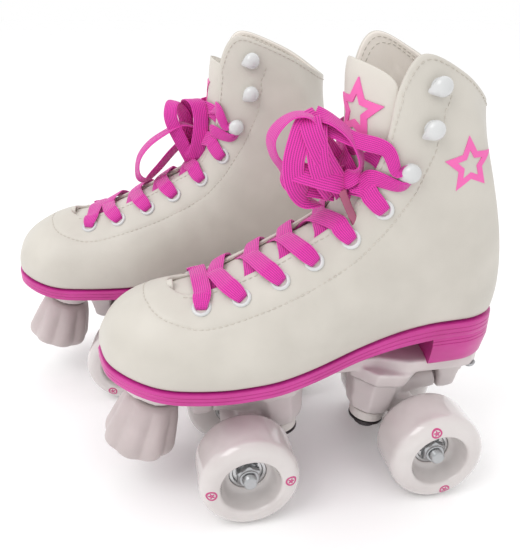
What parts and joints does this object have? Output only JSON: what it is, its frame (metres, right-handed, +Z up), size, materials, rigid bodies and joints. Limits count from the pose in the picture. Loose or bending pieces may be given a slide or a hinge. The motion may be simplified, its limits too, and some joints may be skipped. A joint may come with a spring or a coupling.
{
  "type": "roller skates",
  "caption": "Pair of laced high-top quad roller skates on nylon plates, with sprung steering trucks, free-spinning wheels and rubber toe stops.",
  "frame": {"origin": "on the floor, under the centre of the pair's bounding box", "axes": "+Z up, toes towards -Y, the left skate on the +X side; the right skate is turned 8.2 degrees clockwise seen from above"},
  "size_m": [0.2422, 0.2998, 0.2614],
  "materials": {
    "boot_leather": "smooth coated synthetic leather, warm white, satin",
    "tongue_leather": "soft padded synthetic leather, warm white, satin",
    "insole_lining": "brushed knit lining, pale grey",
    "outsole_rubber": "moulded rubber, magenta, semi-gloss",
    "plate_nylon": "moulded nylon, white",
    "toe_stop_rubber": "moulded rubber, white",
    "wheel_urethane": "cast polyurethane, white, glossy",
    "cushion_rubber": "cast urethane cushion, off-white",
    "bearing_steel": "polished bearing steel",
    "axle_steel": "zinc plated steel",
    "lace_webbing": "flat woven polyester lace, magenta",
    "eyelet_enamel": "white enamelled eyelets and hooks",
    "stitch_thread": "twisted polyester thread, off-white",
    "printed_mark": "screen printed ink, pink"
  },
  "bodies": {
    "left_skate": {"left_upper": "boot_leather", "left_tongue": "tongue_leather", "left_insole": "insole_lining", "left_outsole": "outsole_rubber", "left_laces": "lace_webbing", "left_plate": "plate_nylon", "left_toe_stop": "toe_stop_rubber", "left_toe_stop_bolt": "axle_steel", "left_front_kingpin": "axle_steel", "left_rear_kingpin": "axle_steel", "left_front_upper_cushion": "cushion_rubber", "left_front_lower_cushion": "cushion_rubber", "left_rear_upper_cushion": "cushion_rubber", "left_rear_lower_cushion": "cushion_rubber"},
    "left_front_steering": {"left_front_truck": "plate_nylon", "left_front_axle": "axle_steel", "left_front_outer_nut": "axle_steel", "left_front_inner_nut": "axle_steel"},
    "left_front_outer_roller": {"left_front_outer_wheel": "wheel_urethane", "left_front_outer_bearing": "bearing_steel"},
    "left_front_inner_roller": {"left_front_inner_wheel": "wheel_urethane", "left_front_inner_bearing": "bearing_steel"},
    "left_rear_steering": {"left_rear_truck": "plate_nylon", "left_rear_axle": "axle_steel", "left_rear_outer_nut": "axle_steel", "left_rear_inner_nut": "axle_steel"},
    "left_rear_outer_roller": {"left_rear_outer_wheel": "wheel_urethane", "left_rear_outer_bearing": "bearing_steel"},
    "left_rear_inner_roller": {"left_rear_inner_wheel": "wheel_urethane", "left_rear_inner_bearing": "bearing_steel"},
    "right_skate": {"right_upper": "boot_leather", "right_tongue": "tongue_leather", "right_insole": "insole_lining", "right_outsole": "outsole_rubber", "right_laces": "lace_webbing", "right_plate": "plate_nylon", "right_toe_stop": "toe_stop_rubber", "right_toe_stop_bolt": "axle_steel", "right_front_kingpin": "axle_steel", "right_rear_kingpin": "axle_steel", "right_front_upper_cushion": "cushion_rubber", "right_front_lower_cushion": "cushion_rubber", "right_rear_upper_cushion": "cushion_rubber", "right_rear_lower_cushion": "cushion_rubber"},
    "right_front_steering": {"right_front_truck": "plate_nylon", "right_front_axle": "axle_steel", "right_front_outer_nut": "axle_steel", "right_front_inner_nut": "axle_steel"},
    "right_front_outer_roller": {"right_front_outer_wheel": "wheel_urethane", "right_front_outer_bearing": "bearing_steel"},
    "right_front_inner_roller": {"right_front_inner_wheel": "wheel_urethane", "right_front_inner_bearing": "bearing_steel"},
    "right_rear_steering": {"right_rear_truck": "plate_nylon", "right_rear_axle": "axle_steel", "right_rear_outer_nut": "axle_steel", "right_rear_inner_nut": "axle_steel"},
    "right_rear_outer_roller": {"right_rear_outer_wheel": "wheel_urethane", "right_rear_outer_bearing": "bearing_steel"},
    "right_rear_inner_roller": {"right_rear_inner_wheel": "wheel_urethane", "right_rear_inner_bearing": "bearing_steel"}
  },
  "joints": [
    {"name": "right_skate_lift", "type": "slide", "parent": "left_skate", "child": "right_skate", "axis": [0, 0, 1], "range_m": [0, 0.3]},
    {"name": "left_front_steer", "type": "hinge", "parent": "left_skate", "child": "left_front_steering", "pos_m": [0.06787, 0.01775, 0.048], "axis": [0, -0.9881, 0.1537], "range_deg": [-8, 8], "stiffness_Nm_per_rad": 20},
    {"name": "left_front_outer_spin", "type": "hinge", "parent": "left_front_steering", "child": "left_front_outer_roller", "pos_m": [0.10412, -0.00695, 0.029], "axis": [1, 0, 0], "continuous": true},
    {"name": "left_front_inner_spin", "type": "hinge", "parent": "left_front_steering", "child": "left_front_inner_roller", "pos_m": [0.03162, -0.00695, 0.029], "axis": [1, 0, 0], "continuous": true},
    {"name": "left_rear_steer", "type": "hinge", "parent": "left_skate", "child": "left_rear_steering", "pos_m": [0.06787, 0.08175, 0.048], "axis": [0, 0.9881, 0.1537], "range_deg": [-8, 8], "stiffness_Nm_per_rad": 20},
    {"name": "left_rear_outer_spin", "type": "hinge", "parent": "left_rear_steering", "child": "left_rear_outer_roller", "pos_m": [0.10412, 0.10645, 0.029], "axis": [1, 0, 0], "continuous": true},
    {"name": "left_rear_inner_spin", "type": "hinge", "parent": "left_rear_steering", "child": "left_rear_inner_roller", "pos_m": [0.03162, 0.10645, 0.029], "axis": [1, 0, 0], "continuous": true},
    {"name": "right_front_steer", "type": "hinge", "parent": "right_skate", "child": "right_front_steering", "pos_m": [-0.06159, -0.04362, 0.048], "axis": [-0.1409, -0.978, 0.1537], "range_deg": [-8, 8], "stiffness_Nm_per_rad": 20},
    {"name": "right_front_outer_spin", "type": "hinge", "parent": "right_front_steering", "child": "right_front_outer_roller", "pos_m": [-0.101, -0.0629, 0.029], "axis": [-0.9898, 0.1426, 0], "continuous": true},
    {"name": "right_front_inner_spin", "type": "hinge", "parent": "right_front_steering", "child": "right_front_inner_roller", "pos_m": [-0.02924, -0.07324, 0.029], "axis": [-0.9898, 0.1426, 0], "continuous": true},
    {"name": "right_rear_steer", "type": "hinge", "parent": "right_skate", "child": "right_rear_steering", "pos_m": [-0.05247, 0.01972, 0.048], "axis": [0.1409, 0.978, 0.1537], "range_deg": [-8, 8], "stiffness_Nm_per_rad": 20},
    {"name": "right_rear_outer_spin", "type": "hinge", "parent": "right_rear_steering", "child": "right_rear_outer_roller", "pos_m": [-0.08482, 0.04934, 0.029], "axis": [-0.9898, 0.1426, 0], "continuous": true},
    {"name": "right_rear_inner_spin", "type": "hinge", "parent": "right_rear_steering", "child": "right_rear_inner_roller", "pos_m": [-0.01306, 0.039, 0.029], "axis": [-0.9898, 0.1426, 0], "continuous": true}
  ]
}
